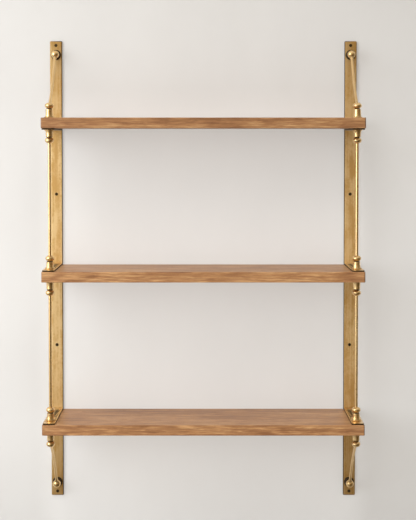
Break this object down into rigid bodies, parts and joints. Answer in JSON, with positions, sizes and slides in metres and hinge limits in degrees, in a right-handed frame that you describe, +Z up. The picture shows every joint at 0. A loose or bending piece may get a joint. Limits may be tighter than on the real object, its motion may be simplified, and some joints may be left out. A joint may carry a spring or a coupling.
{
  "type": "wall shelf with brackets",
  "caption": "Wall shelf of wooden boards held by mirrored brass brackets with flat back bars, turned collars, slim front rods and curved stays that end in balls.",
  "frame": {"origin": "on the wall plane, at the middle of the middle board's back edge", "axes": "+Z up, +Y into the wall, +X along the boards to the right as seen from the room; the front faces -Y"},
  "size_m": [0.762, 0.242, 1.134],
  "materials": {
    "oak": "mid-brown oiled oak, fine grain along the board",
    "brass": "aged satin, brushed along its length",
    "polished_brass": "turned, soft polish",
    "dark_screw_brass": "darkened, slotted"
  },
  "bodies": {
    "root": {"board_top": "oak", "board_middle": "oak", "board_bottom": "oak", "left_back_bar": "brass", "left_front_rod": "polished_brass", "left_arm_top": "brass", "left_collar_above_top": "polished_brass", "left_collar_below_top": "polished_brass", "left_board_screw_top_front": "dark_screw_brass", "left_board_screw_top_rear": "dark_screw_brass", "left_arm_middle": "brass", "left_collar_above_middle": "polished_brass", "left_collar_below_middle": "polished_brass", "left_board_screw_middle_front": "dark_screw_brass", "left_board_screw_middle_rear": "dark_screw_brass", "left_arm_bottom": "brass", "left_collar_above_bottom": "polished_brass", "left_collar_below_bottom": "polished_brass", "left_board_screw_bottom_front": "dark_screw_brass", "left_board_screw_bottom_rear": "dark_screw_brass", "left_stay_upper": "polished_brass", "left_ball_end_upper": "polished_brass", "left_stay_lower": "polished_brass", "left_ball_end_lower": "polished_brass", "left_wall_screw_1": "dark_screw_brass", "left_wall_screw_2": "dark_screw_brass", "left_wall_screw_3": "dark_screw_brass", "left_wall_screw_4": "dark_screw_brass", "right_back_bar": "brass", "right_front_rod": "polished_brass", "right_arm_top": "brass", "right_collar_above_top": "polished_brass", "right_collar_below_top": "polished_brass", "right_board_screw_top_front": "dark_screw_brass", "right_board_screw_top_rear": "dark_screw_brass", "right_arm_middle": "brass", "right_collar_above_middle": "polished_brass", "right_collar_below_middle": "polished_brass", "right_board_screw_middle_front": "dark_screw_brass", "right_board_screw_middle_rear": "dark_screw_brass", "right_arm_bottom": "brass", "right_collar_above_bottom": "polished_brass", "right_collar_below_bottom": "polished_brass", "right_board_screw_bottom_front": "dark_screw_brass", "right_board_screw_bottom_rear": "dark_screw_brass", "right_stay_upper": "polished_brass", "right_ball_end_upper": "polished_brass", "right_stay_lower": "polished_brass", "right_ball_end_lower": "polished_brass", "right_wall_screw_1": "dark_screw_brass", "right_wall_screw_2": "dark_screw_brass", "right_wall_screw_3": "dark_screw_brass", "right_wall_screw_4": "dark_screw_brass"}
  },
  "joints": []
}
